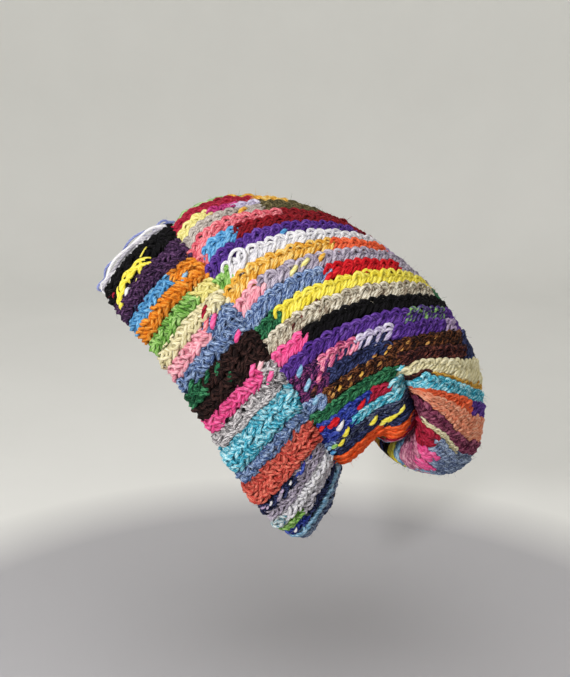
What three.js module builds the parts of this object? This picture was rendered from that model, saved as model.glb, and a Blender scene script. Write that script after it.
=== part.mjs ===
// Slouchy crochet hat with a turned-up cuff, in millimetres, +Z up, worn with its face side towards -Y.
// The origin is the middle of the head opening, and the wearer's left side is towards +X.
import * as THREE from "three";

// Rows of crochet run from the cuff to the gathered end, side by side all round the hat.
const ROWS = 58;

const RIB_HEIGHT = 2.4;
const WALL = 4.4;
const CUFF_GAP = 0.5;
const CUFF_WALL = 4.6;
const CUFF_BULGE = 2.6;

// Sections of the hat, from the fold of the brim to the gathered end.
// x, y, z is the section's middle. tilt leans it forward and yaw turns it to the wearer's right, in
// degrees. roll carries the rows over the ridge, in rows. bow and lean push its sides back along the hat,
// and farBow pushes the side towards -X alone.
// fullness is the power of the section's curve: 1 is an ellipse and less is boxier.
const COLUMNS = [
  "name",
  "x",
  "y",
  "z",
  "halfHeight",
  "halfWidth",
  "tilt",
  "yaw",
  "roll",
  "bow",
  "lean",
  "farBow",
  "fullness",
];
const SECTIONS = [
  ["fold", 0, 3, -4, 114, 72, 37, 0, 0, 12, 16, 0, 1],
  ["cuff_middle", 0, 19, 21, 112, 74, 36, 0, 0, 15, 9, 0, 1],
  ["cuff_edge", 0, 36, 45, 103, 78, 34, 0, 0, 18, 4, 0, 1],
  ["puff", 0, 48, 54, 105, 83, 31, 0, 0.4, 18, 0, 0, 0.95],
  ["crown_front", 0, 68, 62, 99, 85, 26, 0, 1.2, 16, 0, 0, 0.95],
  ["crown_back", -1, 92, 66, 87, 84, 20, 6, 2.1, 12, 0, 4, 0.95],
  ["droop", -2, 116, 52, 80, 80, 10, 16, 4.3, 6, 0, 15, 0.9],
  ["bend", -9, 139, 28, 72, 70, 2, 30, 7.5, 2, 0, 22, 0.85],
  ["lobe_top", -23, 156, 4, 64, 57, 4, 46, 10, 0, 0, 16, 0.82],
  ["lobe", -39, 162, -8, 55, 47, 3, 63, 10, 0, 0, 8, 0.82],
  ["lobe_back", -54, 163, -13, 42, 37, 0, 76, 10, 0, 0, 2, 0.9],
  ["tip", -64, 161, -14, 24, 22, 0, 86, 10, 0, 0, 0, 1],
  ["gather", -59, 159, -14, 8, 8, 0, 90, 10, 0, 0, 0, 1],
];

// The crease where the empty end hangs and buckles.
// Its ends are places round the section, in rows from the ridge.
const CREASE = {
  station: 5.62,
  drift: 0.05,
  width: 0.3,
  depth: 28,
  start: 15,
  full: 19,
  ease: 30,
  end: 38,
};

// Stations count sections from 0 at the fold, and a fraction lies between two sections.
const CUFF_EDGE_STATION = 2;
const GATHER_STATION = SECTIONS.length - 1;
const RIM_STATION = 0.16;
const LIP_STATION = 0.13;

// The crown's cloth is built in three lengths that meet with a hairline between them.
const BODY_END_STATION = 4;
const HAIRLINE = 0.035;

// Runs of rings along each length, with the longest step between rings.
const BAND_RUNS = [{ from: RIM_STATION, to: CUFF_EDGE_STATION, step: 0.62 }];
const BODY_INSIDE_RUNS = [{ from: CUFF_EDGE_STATION + HAIRLINE, to: BODY_END_STATION, step: 0.75 }];
const BODY_OUTSIDE_RUNS = [{ from: CUFF_EDGE_STATION + HAIRLINE, to: BODY_END_STATION, step: 0.5 }];
const END_INSIDE_RUNS = [
  { from: BODY_END_STATION + HAIRLINE, to: 7, step: 0.32 },
  { from: 7.8, to: GATHER_STATION, step: 0.7 },
];
const END_OUTSIDE_RUNS = [
  { from: BODY_END_STATION + HAIRLINE, to: 4.8, step: 0.4 },
  { from: 5.2, to: 6.9, step: 0.21 },
  { from: 7.4, to: GATHER_STATION - 1, step: 0.6 },
];

// The cuff's wall in section, once round: how far out from the crown it lies at each station, and the
// height of its ribs. scallop carries the ridges past the cuff's edge, in stations.
const CUFF_OUTSIDE = CUFF_GAP + CUFF_WALL;
const CUFF_PROFILE = [
  { station: 1.94, out: CUFF_GAP },
  { station: 1.4, out: CUFF_GAP },
  { station: 0.8, out: CUFF_GAP },
  { station: LIP_STATION, out: CUFF_GAP },
  { station: LIP_STATION, out: -WALL },
  { station: 0.02, out: -0.6 * WALL },
  { station: 0, out: 0.35 * CUFF_OUTSIDE, ribs: 0.5 * RIB_HEIGHT },
  { station: 0.12, out: CUFF_OUTSIDE, ribs: RIB_HEIGHT },
  { station: 0.56, out: CUFF_OUTSIDE + 0.8 * CUFF_BULGE, ribs: RIB_HEIGHT },
  { station: 1, out: CUFF_OUTSIDE + CUFF_BULGE, ribs: RIB_HEIGHT },
  { station: 1.5, out: CUFF_OUTSIDE + 0.7 * CUFF_BULGE, ribs: RIB_HEIGHT },
  { station: 1.92, out: CUFF_OUTSIDE, ribs: RIB_HEIGHT },
  { station: CUFF_EDGE_STATION, out: 0.6 * CUFF_OUTSIDE, ribs: 0.5 * RIB_HEIGHT, scallop: 0.05 },
];

const MATERIALS = {
  crown: new THREE.MeshStandardMaterial({ color: 0x7a5f86, roughness: 0.95, metalness: 0 }),
  cuff: new THREE.MeshStandardMaterial({ color: 0x8a6a58, roughness: 0.95, metalness: 0 }),
};

// One cubic through each numeric column of the table.
const columnCurves = Object.fromEntries(
  COLUMNS.slice(1).map((column, i) => [
    column,
    new THREE.SplineCurve(SECTIONS.map((section, station) => new THREE.Vector2(station, section[i + 1]))),
  ]),
);

function sizesAt(station) {
  const t = THREE.MathUtils.clamp(station / GATHER_STATION, 0, 1);
  return Object.fromEntries(COLUMNS.slice(1).map((column) => [column, columnCurves[column].getPoint(t).y]));
}

function signedPower(value, power) {
  return Math.sign(value) * Math.abs(value) ** power;
}

// A section's frame and the angle round it at each share of its girth.
const ANGLE_STEPS = 360;
const FULL_TURN = 2 * Math.PI;
const knownSections = new Map();

function sectionAt(station) {
  if (knownSections.has(station)) return knownSections.get(station);
  const size = sizesAt(station);
  const tilt = THREE.MathUtils.degToRad(size.tilt);
  const yaw = THREE.MathUtils.degToRad(size.yaw);
  const up = new THREE.Vector3(0, -Math.sin(tilt), Math.cos(tilt));
  const back = new THREE.Vector3(0, Math.cos(tilt), Math.sin(tilt));
  const side = new THREE.Vector3(Math.cos(yaw), 0, 0).addScaledVector(back, Math.sin(yaw));
  const along = new THREE.Vector3().crossVectors(up, side);
  const centre = new THREE.Vector3(size.x, size.y, size.z);

  const offsetAt = (angle) =>
    new THREE.Vector2(
      size.halfHeight * signedPower(Math.cos(angle), size.fullness),
      size.halfWidth * signedPower(Math.sin(angle), size.fullness),
    );
  const lengths = [0];
  for (let i = 1; i <= ANGLE_STEPS; i++) {
    const before = offsetAt(((i - 1) / ANGLE_STEPS) * FULL_TURN);
    const after = offsetAt((i / ANGLE_STEPS) * FULL_TURN);
    lengths.push(lengths[i - 1] + before.distanceTo(after));
  }
  const angleAt = (share) => {
    const wanted = THREE.MathUtils.euclideanModulo(share, 1) * lengths[ANGLE_STEPS];
    const i = Math.max(1, lengths.findIndex((length) => length >= wanted));
    const part = (wanted - lengths[i - 1]) / (lengths[i] - lengths[i - 1]);
    return ((i - 1 + part) / ANGLE_STEPS) * FULL_TURN;
  };
  const section = { size, up, side, along, centre, offsetAt, angleAt };
  knownSections.set(station, section);
  return section;
}

// Place of a row on the hat's smooth form, before its crease, ribs and thickness.
function smoothPoint(station, row) {
  const { size, up, side, along, centre, offsetAt, angleAt } = sectionAt(station);
  const angle = angleAt((row - size.roll) / ROWS);
  const offset = offsetAt(angle);
  const farBow = Math.sin(angle) < 0 ? size.farBow : 0;
  const push = Math.sin(angle) ** 2 * (size.bow + size.lean * Math.cos(angle) + farBow);
  return centre
    .clone()
    .addScaledVector(up, offset.x)
    .addScaledVector(side, offset.y)
    .addScaledVector(along, push);
}

const STATION_STEP = 0.05;
const ROW_STEP = 0.4;

function outward(station, row) {
  const ahead = smoothPoint(Math.min(station + STATION_STEP, GATHER_STATION), row);
  const behind = smoothPoint(Math.max(station - STATION_STEP, 0), row);
  const next = smoothPoint(station, row + ROW_STEP);
  const last = smoothPoint(station, row - ROW_STEP);
  return next.sub(last).cross(ahead.sub(behind)).normalize();
}

function creaseDepth(station, row) {
  const place = THREE.MathUtils.euclideanModulo(row - sectionAt(station).size.roll, ROWS);
  const { smoothstep } = THREE.MathUtils;
  const begun = smoothstep(place, CREASE.start, CREASE.full);
  const ended = smoothstep(place, CREASE.ease, CREASE.end);
  const middle = CREASE.station + CREASE.drift * (Math.min(place, CREASE.ease) - CREASE.start);
  return CREASE.depth * begun * (1 - ended) * Math.exp(-(((station - middle) / CREASE.width) ** 2));
}

// Place of a row on the hat, this far out from its smooth form, in the crease where there is one.
function hatPoint(station, row, out) {
  const normal = outward(station, row);
  return smoothPoint(station, row).addScaledVector(normal, out - creaseDepth(station, row));
}

// A ring of plain points round the hat, one at each row's edge.
function plainRing(station, out) {
  return Array.from({ length: ROWS }, (unused, row) => hatPoint(station, row, out));
}

// A ring with the rows' ribs: a groove at each row's edge and a ridge on its middle.
function ribbedRing(station, out, height, scallop = 0) {
  return Array.from({ length: 2 * ROWS }, (unused, i) => {
    const onRidge = i % 2 === 1;
    const rise = onRidge ? height / 2 : -height / 2;
    return hatPoint(station + (onRidge ? scallop : 0), i / 2, out + rise);
  });
}

function stationsOf(runs) {
  return runs.flatMap(({ from, to, step }) => {
    const count = Math.ceil((to - from) / step);
    return Array.from({ length: count + 1 }, (unused, i) => from + ((to - from) * i) / count);
  });
}

// Builds a closed skin from rings given in order. The rings may have different numbers of points.
class Skin {
  constructor() {
    this.points = [];
    this.faces = [];
    this.rings = [];
  }

  addRing(points) {
    this.rings.push({ start: this.points.length, count: points.length });
    this.points.push(...points);
  }

  join(a, b) {
    let i = 0;
    let j = 0;
    while (i < a.count || j < b.count) {
      const here = a.start + (i % a.count);
      const there = b.start + (j % b.count);
      const stepOnA = j >= b.count || (i < a.count && (i + 1) / a.count <= (j + 1) / b.count);
      if (stepOnA) {
        this.faces.push(here, a.start + ((i + 1) % a.count), there);
        i += 1;
      } else {
        this.faces.push(here, b.start + ((j + 1) % b.count), there);
        j += 1;
      }
    }
  }

  joinAll() {
    for (let i = 1; i < this.rings.length; i++) this.join(this.rings[i - 1], this.rings[i]);
  }

  closeRound() {
    this.join(this.rings[this.rings.length - 1], this.rings[0]);
  }

  closeEnds(firstPole, lastPole) {
    const first = this.rings[0];
    const last = this.rings[this.rings.length - 1];
    const poles = this.points.push(firstPole, lastPole) - 2;
    for (let i = 0; i < first.count; i++) {
      this.faces.push(first.start + ((i + 1) % first.count), first.start + i, poles);
    }
    for (let i = 0; i < last.count; i++) {
      this.faces.push(last.start + i, last.start + ((i + 1) % last.count), poles + 1);
    }
  }

  mesh(name, material) {
    const geometry = new THREE.BufferGeometry().setFromPoints(this.points);
    geometry.setIndex(this.faces);
    geometry.computeVertexNormals();
    const mesh = new THREE.Mesh(geometry, material);
    mesh.name = name;
    return mesh;
  }
}

function middleOf(points) {
  return points.reduce((sum, point) => sum.add(point), new THREE.Vector3()).divideScalar(points.length);
}

// The crown's inner layer, plain on both faces, which the cuff covers.
function makeBand() {
  const skin = new Skin();
  for (const station of stationsOf(BAND_RUNS).reverse()) skin.addRing(plainRing(station, -WALL));
  for (const station of stationsOf(BAND_RUNS)) skin.addRing(plainRing(station, 0));
  skin.joinAll();
  skin.closeRound();
  return skin.mesh("crown_band", MATERIALS.crown);
}

// The slouching body of the crown, ribbed outside.
function makeBody() {
  const skin = new Skin();
  for (const station of stationsOf(BODY_INSIDE_RUNS).reverse()) skin.addRing(plainRing(station, -WALL));
  for (const station of stationsOf(BODY_OUTSIDE_RUNS)) skin.addRing(ribbedRing(station, 0, RIB_HEIGHT));
  skin.joinAll();
  skin.closeRound();
  return skin.mesh("crown_body", MATERIALS.crown);
}

// The drooping end is a bag, creased on one side and gathered shut.
function makeEnd() {
  const skin = new Skin();
  const insideEnd = plainRing(GATHER_STATION, -WALL);
  const gather = plainRing(GATHER_STATION, 0);
  for (const station of stationsOf(END_INSIDE_RUNS).reverse()) skin.addRing(plainRing(station, -WALL));
  for (const station of stationsOf(END_OUTSIDE_RUNS)) skin.addRing(ribbedRing(station, 0, RIB_HEIGHT));
  skin.addRing(gather);
  skin.joinAll();
  skin.closeEnds(middleOf(insideEnd), middleOf(gather));
  return skin.mesh("crown_end", MATERIALS.crown);
}

// The cuff is a band that folds under the crown's rim and stands against its outside.
function makeCuff() {
  const skin = new Skin();
  for (const { station, out, ribs, scallop } of CUFF_PROFILE) {
    skin.addRing(ribs ? ribbedRing(station, out, ribs, scallop) : plainRing(station, out));
  }
  skin.joinAll();
  skin.closeRound();
  return skin.mesh("cuff", MATERIALS.cuff);
}

const hat = new THREE.Group();
hat.add(makeBand(), makeBody(), makeEnd(), makeCuff());

export default hat;
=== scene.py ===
# Slouchy crochet hat with a turned-up cuff, dressed in real strands of yarn, in metres.
# Every row of crochet is built stitch by stitch on the same form as the solids.
import math
from collections import namedtuple

import bpy
import numpy as np
from mathutils import Matrix, Vector


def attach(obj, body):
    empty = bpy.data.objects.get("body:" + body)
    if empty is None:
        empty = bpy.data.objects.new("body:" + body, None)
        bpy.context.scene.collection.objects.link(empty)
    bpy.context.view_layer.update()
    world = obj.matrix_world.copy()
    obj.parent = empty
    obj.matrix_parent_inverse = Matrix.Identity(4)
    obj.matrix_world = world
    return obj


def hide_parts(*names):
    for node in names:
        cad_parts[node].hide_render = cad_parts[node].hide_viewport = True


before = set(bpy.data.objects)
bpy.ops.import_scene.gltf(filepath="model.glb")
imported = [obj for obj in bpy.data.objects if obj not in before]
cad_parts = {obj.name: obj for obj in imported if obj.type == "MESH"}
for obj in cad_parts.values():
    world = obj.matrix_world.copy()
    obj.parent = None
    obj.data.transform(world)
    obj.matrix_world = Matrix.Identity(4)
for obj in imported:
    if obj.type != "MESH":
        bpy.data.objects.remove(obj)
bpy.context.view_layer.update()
rng = np.random.default_rng(7)

MM = 0.001
ROWS = 58

# The form, as in the solids: sections from the fold of the brim to the gathered end, in millimetres. Columns:
# x, y, z, half height, half width, tilt and yaw in degrees, roll in rows, bow, lean, far bow, fullness.
SECTIONS = np.array([
    [0, 3, -4, 114, 72, 37, 0, 0, 12, 16, 0, 1],
    [0, 19, 21, 112, 74, 36, 0, 0, 15, 9, 0, 1],
    [0, 36, 45, 103, 78, 34, 0, 0, 18, 4, 0, 1],
    [0, 48, 54, 105, 83, 31, 0, 0.4, 18, 0, 0, 0.95],
    [0, 68, 62, 99, 85, 26, 0, 1.2, 16, 0, 0, 0.95],
    [-1, 92, 66, 87, 84, 20, 6, 2.1, 12, 0, 4, 0.95],
    [-2, 116, 52, 80, 80, 10, 16, 4.3, 6, 0, 15, 0.9],
    [-9, 139, 28, 72, 70, 2, 30, 7.5, 2, 0, 22, 0.85],
    [-23, 156, 4, 64, 57, 4, 46, 10, 0, 0, 16, 0.82],
    [-39, 162, -8, 55, 47, 3, 63, 10, 0, 0, 8, 0.82],
    [-54, 163, -13, 42, 37, 0, 76, 10, 0, 0, 2, 0.9],
    [-64, 161, -14, 24, 22, 0, 86, 10, 0, 0, 0, 1],
    [-59, 159, -14, 8, 8, 0, 90, 10, 0, 0, 0, 1],
])
LAST_STATION = len(SECTIONS) - 1
ROLL_COLUMN = 7
CREASE = dict(station=5.62, drift=0.05, width=0.3, depth=28, start=15, full=19, ease=30, end=38)

STITCH_PITCH = 6.5
ROW_WIDTH = 10.2
ROWS_PER_PIECE = 4


def ramp(low, high, value):
    t = np.clip((value - low) / (high - low), 0, 1)
    return t * t * (3 - 2 * t)


def unit(v):
    return v / np.maximum(np.linalg.norm(v, axis=-1, keepdims=True), 1e-9)


def distances(line):
    """How far along a line, or along each of many lines, its points lie."""
    steps = np.linalg.norm(np.diff(line, axis=-2), axis=-1)
    return np.concatenate([np.zeros(steps.shape[:-1] + (1,)), np.cumsum(steps, axis=-1)], -1)


def between(points, at):
    """Places on a smooth run through points, the first axis being the order along it."""
    last = len(points) - 1
    i = np.minimum(np.asarray(at).astype(int), last - 1)
    f = np.reshape(at - i, np.shape(at) + (1,) * (points.ndim - 1))
    p0 = points[np.maximum(i - 1, 0)]
    p1 = points[i]
    p2 = points[i + 1]
    p3 = points[np.minimum(i + 2, last)]
    bend = (2 * p0 - 5 * p1 + 4 * p2 - p3) * f**2 + (3 * p1 - p0 - 3 * p2 + p3) * f**3
    return p1 + 0.5 * ((p2 - p0) * f + bend)


def through(points, count):
    return between(points, np.linspace(0, len(points) - 1, count))


def section_at(station):
    return between(SECTIONS, min(max(station, 0), LAST_STATION))


TURN = np.linspace(0, 2 * np.pi, 721)


def signed_power(value, power):
    return np.sign(value) * np.abs(value) ** power


def smooth_ring(station, row):
    x, y, z, high, wide, tilt, yaw, roll, bow, lean, far_bow, full = section_at(station)
    edge = np.stack([high * signed_power(np.cos(TURN), full), wide * signed_power(np.sin(TURN), full)], 1)
    lengths = distances(edge)
    share = ((row - roll) / ROWS) % 1.0
    angle = np.interp(share * lengths[-1], lengths, TURN)
    tilt = math.radians(tilt)
    yaw = math.radians(yaw)
    up = np.array([0, -math.sin(tilt), math.cos(tilt)])
    back = np.array([0, math.cos(tilt), math.sin(tilt)])
    side = np.array([math.cos(yaw), 0, 0]) + math.sin(yaw) * back
    along = np.cross(up, side)
    c = np.cos(angle)
    s = np.sin(angle)
    push = s**2 * (bow + lean * c + np.where(s < 0, far_bow, 0))
    centre = np.array([x, y, z])
    high_part = (high * signed_power(c, full))[:, None] * up
    wide_part = (wide * signed_power(s, full))[:, None] * side
    return centre + high_part + wide_part + push[:, None] * along


def crease_depth(station, row):
    place = (row - section_at(station)[ROLL_COLUMN]) % ROWS
    reach = ramp(CREASE["start"], CREASE["full"], place) * (1 - ramp(CREASE["ease"], CREASE["end"], place))
    middle = CREASE["station"] + CREASE["drift"] * (np.minimum(place, CREASE["ease"]) - CREASE["start"])
    return CREASE["depth"] * reach * np.exp(-(((station - middle) / CREASE["width"]) ** 2))


# The form's slope at a place is taken over this many stations and rows to each side.
SLOPE_STATIONS = 0.05
SLOPE_ROWS = 0.4


def form_grid(stations, rows):
    """Places on the creased form for every station and row."""
    places = []
    for station in stations:
        ahead = smooth_ring(min(station + SLOPE_STATIONS, LAST_STATION), rows)
        behind = smooth_ring(max(station - SLOPE_STATIONS, 0), rows)
        after = smooth_ring(station, rows + SLOPE_ROWS)
        before = smooth_ring(station, rows - SLOPE_ROWS)
        normal = unit(np.cross(after - before, ahead - behind))
        places.append(smooth_ring(station, rows) - normal * crease_depth(station, rows)[:, None])
    return np.array(places)


# Rows keep this far inside a sheet's ends: stations on the crown, a share of the way on the cuff.
END_MARGIN = 0.02


class Sheet:
    """The hat's cloth as a grid of places, its first axis along the rows and its second round the hat."""

    def __init__(self, first, step, places):
        self.first = first
        self.step = step
        self.places = places
        self.last = first + step * (len(places) - 1) - END_MARGIN
        self.row_step = ROWS / places.shape[1]
        along = np.gradient(places, axis=0)
        across = np.roll(places, -1, 1) - np.roll(places, 1, 1)
        self.normals = unit(np.cross(across, along))
        self.widths = np.linalg.norm(across, axis=2) / (2 * self.row_step)

    def spread(self, grid, at, row):
        i = (np.asarray(at) - self.first) / self.step
        j = (np.asarray(row) / self.row_step) % self.places.shape[1]
        i0 = np.clip(np.floor(i).astype(int), 0, self.places.shape[0] - 2)
        j0 = np.floor(j).astype(int) % self.places.shape[1]
        j1 = (j0 + 1) % self.places.shape[1]
        a = i - i0
        b = j - np.floor(j)
        if grid.ndim == 3:
            a = a[..., None]
            b = b[..., None]
        low = grid[i0, j0] * (1 - b) + grid[i0, j1] * b
        high = grid[i0 + 1, j0] * (1 - b) + grid[i0 + 1, j1] * b
        return low * (1 - a) + high * a

    def place(self, at, row, height):
        return self.spread(self.places, at, row) + self.normal(at, row) * np.asarray(height)[..., None]

    def normal(self, at, row):
        return unit(self.spread(self.normals, at, row))

    def width(self, at, row):
        return self.spread(self.widths, at, row)


GRID_STEP = 0.04
GRID_ROW_STEP = 0.25
grid_stations = np.arange(0, LAST_STATION + GRID_STEP / 2, GRID_STEP)
grid_rows = np.arange(0, ROWS, GRID_ROW_STEP)
crown = Sheet(0, GRID_STEP, form_grid(grid_stations, grid_rows))

# The cuff's outer face, from inside the opening round the fold to its top edge: station and distance out.
CUFF_PROFILE = np.array([
    [0.34, -4.6], [0.14, -4.4], [0.02, -2.6], [0.01, 0.4], [0.08, 2.6], [0.22, 3.8], [0.55, 4.6],
    [1.0, 5.0], [1.5, 4.6], [1.84, 4.0], [1.98, 3.0], [2.05, 1.4], [2.02, 0.4],
])
PROFILE_POINTS = 121
profile = through(CUFF_PROFILE, PROFILE_POINTS)
profile_rows = np.broadcast_to(grid_rows, (PROFILE_POINTS, len(grid_rows)))
profile_at = np.broadcast_to(profile[:, :1], profile_rows.shape)
profile_out = np.broadcast_to(profile[:, 1:], profile_rows.shape)
cuff = Sheet(0, 1 / (PROFILE_POINTS - 1), crown.place(profile_at, profile_rows, profile_out))
CUFF_FOLD = 0.24

# How many rows each row lies below its even place on the drooping lobe, at each of these stations. Behind the
# crease the rows come out of one point and fan out.
FAN_STATIONS = np.array([5.75, 6.05, 6.4, 6.7, 7.0, 7.5, 8.1, 9.0])
FAN = np.array([
    # row, then the shift at each station
    [17, 0, 0, 0, 0, 0, 0, 0, 0],
    [19, 0, -0.3, 0, 0.2, 0.4, 0.7, 0.8, 0.8],
    [20, 0, -0.5, 0.1, 0.5, 1.1, 2.0, 2.3, 2.3],
    [21, 0, -1.2, -0.6, -0.1, 0.5, 1.5, 2.2, 2.3],
    [22, 0, -0.9, -0.5, 0, 0.6, 1.8, 2.6, 2.8],
    [23, 0, -1.7, -0.9, -0.2, 0.7, 2.3, 3.2, 3.5],
    [24, 0, -2.4, -1.3, -0.4, 0.9, 2.6, 3.6, 4.0],
    [25, 0, -2.9, -1.6, -0.3, 1.0, 2.9, 4.1, 4.6],
    [26, 0, -1.5, -1.2, -0.2, 1.2, 3.5, 4.8, 5.4],
    [27, 0, -1.8, -1.6, -0.5, 1.0, 3.3, 4.6, 5.2],
    [28, 0, -0.8, -0.2, 0.4, 1.6, 4.0, 5.2, 5.6],
    [30, 0, 0, 0.6, 1.8, 2.9, 5.0, 5.8, 6.0],
    [34, 0, 0.6, 1.5, 2.6, 3.6, 5.0, 5.6, 5.8],
    [40, 0, 0.4, 1.0, 1.8, 2.4, 3.2, 3.6, 3.8],
    [48, 0, 0, 0, 0, 0, 0, 0, 0],
])


def crown_shift(station, row):
    """How far a row's place on the form differs from its number."""
    station, row = np.broadcast_arrays(np.asarray(station, float), np.asarray(row, float) % ROWS)
    rows = FAN[:, 0]
    i = np.clip(np.searchsorted(rows, row, side="right") - 1, 0, len(rows) - 2)
    j = np.clip(np.searchsorted(FAN_STATIONS, station, side="right") - 1, 0, len(FAN_STATIONS) - 2)
    a = np.clip((row - rows[i]) / (rows[i + 1] - rows[i]), 0, 1)
    b = np.clip((station - FAN_STATIONS[j]) / (FAN_STATIONS[j + 1] - FAN_STATIONS[j]), 0, 1)
    b = (ramp(0, 1, b) + b) / 2
    shift = FAN[:, 1:]
    near = shift[i, j] * (1 - b) + shift[i, j + 1] * b
    far = shift[i + 1, j] * (1 - b) + shift[i + 1, j + 1] * b
    return near * (1 - a) + far * a


# How far the cuff's rows slip down by its top edge, and how far some swerve in its middle: (row, rows down).
CUFF_SLIP = [
    (0, 0), (1, 0.1), (3, 0.25), (5, 0.55), (6, 0.4), (7, 0.5), (9, 0.7), (11.5, 0.9), (13, 1.1), (20, 1.1),
    (21, 0.7), (22, 0.35), (25, 0.2), (45, 0), (58, 0),
]
CUFF_SWERVE = [(0, 0), (1, 0.1), (3, 0.5), (5, 0)]


def cuff_shift(at, row):
    """How far a row's place on the cuff differs from its number."""
    slip = np.interp(row % ROWS, *zip(*CUFF_SLIP))
    swerve = np.interp(row % ROWS, *zip(*CUFF_SWERVE))
    share = (np.asarray(at, float) - CUFF_FOLD) / (1 - CUFF_FOLD)
    middle = ramp(0.05, 0.35, share) * (1 - ramp(0.5, 0.85, share))
    return slip * ramp(-0.1, 1.1, share) + swerve * middle


# Yarns: dark, middle and light colours, then how strong the blotches and the fine fibres are.
YARNS = {
    "pale_green": ("#78a564", "#aacd8c", "#cde6b4", 0.2, 0.5),
    "crimson": ("#5f0a1c", "#a81834", "#cd3c5a", 0.1, 0.5),
    "golden": ("#c8821e", "#ecb646", "#fae196", 0.5, 0.6),
    "olive": ("#32301e", "#5c5434", "#8c805a", 0.3, 0.7),
    "pale_yellow": ("#cdbe64", "#f0e691", "#fcf6be", 0.1, 0.4),
    "magenta": ("#781450", "#c3327d", "#e16ea5", 0.3, 0.5),
    "lilac_white": ("#9687af", "#d0c6e2", "#f0ecf6", 0.3, 0.5),
    "beige_grey": ("#877d76", "#bab0a8", "#dcd4cc", 0.2, 0.8),
    "coral_pink": ("#b23648", "#e66c7a", "#faacb0", 0.2, 0.7),
    "sky_blue": ("#2869a5", "#5ca5da", "#96cdee", 0.2, 0.5),
    "dark_red": ("#46060e", "#88121e", "#ac2a34", 0.1, 0.5),
    "purple": ("#2d145a", "#56308e", "#825cb6", 0.2, 0.6),
    "leaf_green": ("#4b822d", "#82ba54", "#bede96", 0.4, 0.6),
    "white": ("#bab8c4", "#eae8ec", "#fefefe", 0.2, 0.6),
    "lilac": ("#876ea0", "#b8a0c8", "#dcc8e2", 0.3, 0.6),
    "coral_orange": ("#cd411e", "#f6683e", "#fc9169", 0.1, 0.4),
    "light_pink": ("#dc788c", "#f4acba", "#fcd4d8", 0.3, 0.4),
    "grey_lavender": ("#7d7387", "#b2a8ba", "#d8d0dc", 0.4, 0.8),
    "denim": ("#304474", "#627eb0", "#b8cce8", 0.2, 1.3),
    "red": ("#960612", "#d01222", "#eb3c3e", 0.1, 0.4),
    "dark_green": ("#083020", "#185e3e", "#54a06e", 0.2, 1.1),
    "yellow": ("#d7be28", "#f6e64e", "#fcf48c", 0.05, 0.3),
    "tan": ("#6e5a4c", "#c8bea6", "#f0eada", 0.5, 1.1),
    "hot_pink": ("#cd286e", "#f85c9e", "#fc8cbe", 0.1, 0.4),
    "black": ("#000000", "#040305", "#1a181e", 0.0, 0.6),
    "plum_mix": ("#180c2c", "#421c52", "#b0548e", 0.6, 1.3),
    "pink_mix": ("#6e1e50", "#e26892", "#fab4c4", 0.5, 0.8),
    "navy": ("#0a0c1e", "#1e244a", "#505c90", 0.3, 0.9),
    "brown_gold": ("#0c0608", "#261012", "#885230", 0.5, 1.5),
    "fleck": ("#542c16", "#a0622e", "#e2b064", 0.6, 1.4),
    "maroon_mix": ("#0e060a", "#30121c", "#82483a", 0.4, 1.3),
    "cream": ("#c8bc8c", "#ece2b6", "#faf5da", 0.2, 0.5),
    "gold": ("#aa6919", "#dea036", "#f4cd6e", 0.4, 0.8),
    "royal": ("#0e185f", "#22349c", "#6478cd", 0.3, 1.0),
    "turquoise": ("#1a809c", "#56c8e2", "#d0f4fa", 0.5, 1.1),
    "orange": ("#d73c0c", "#fa5c24", "#ff8750", 0.05, 0.3),
    "peach": ("#d76e50", "#f49e7c", "#fcc8ac", 0.3, 0.5),
    "burgundy": ("#3e122a", "#742c4a", "#ac647c", 0.5, 0.9),
    "slate": ("#3e4a69", "#7082aa", "#b8c8dc", 0.4, 1.3),
    "mauve": ("#964669", "#c87a98", "#e6acbe", 0.5, 0.7),
    "light_blue": ("#5a8cb4", "#8ebede", "#c4e0f0", 0.3, 0.6),
    "aubergine": ("#1a0c22", "#3c2246", "#74507a", 0.2, 1.0),
    "periwinkle": ("#646eaf", "#96a0da", "#c8ceee", 0.2, 0.6),
    "cuff_orange": ("#c6600c", "#ee8c1e", "#fab858", 0.2, 0.7),
    "brown": ("#070203", "#1f1010", "#4c302b", 0.2, 1.2),
    "grey_heather": ("#545054", "#aca8aa", "#eeeaec", 0.3, 1.4),
    "coral": ("#a52d26", "#e05c50", "#fa967e", 0.3, 1.0),
    "pale_grey": ("#96949e", "#c8c4ce", "#eae6ee", 0.2, 0.7),
    "teal_white": ("#3c8ca0", "#cddadc", "#f0f2f0", 0.8, 0.5),
    "navy_yellow": ("#0e1028", "#262c54", "#788296", 0.4, 0.9),
    "green_purple": ("#321c60", "#5a3c8c", "#8cbe64", 0.9, 0.7),
}

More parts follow.
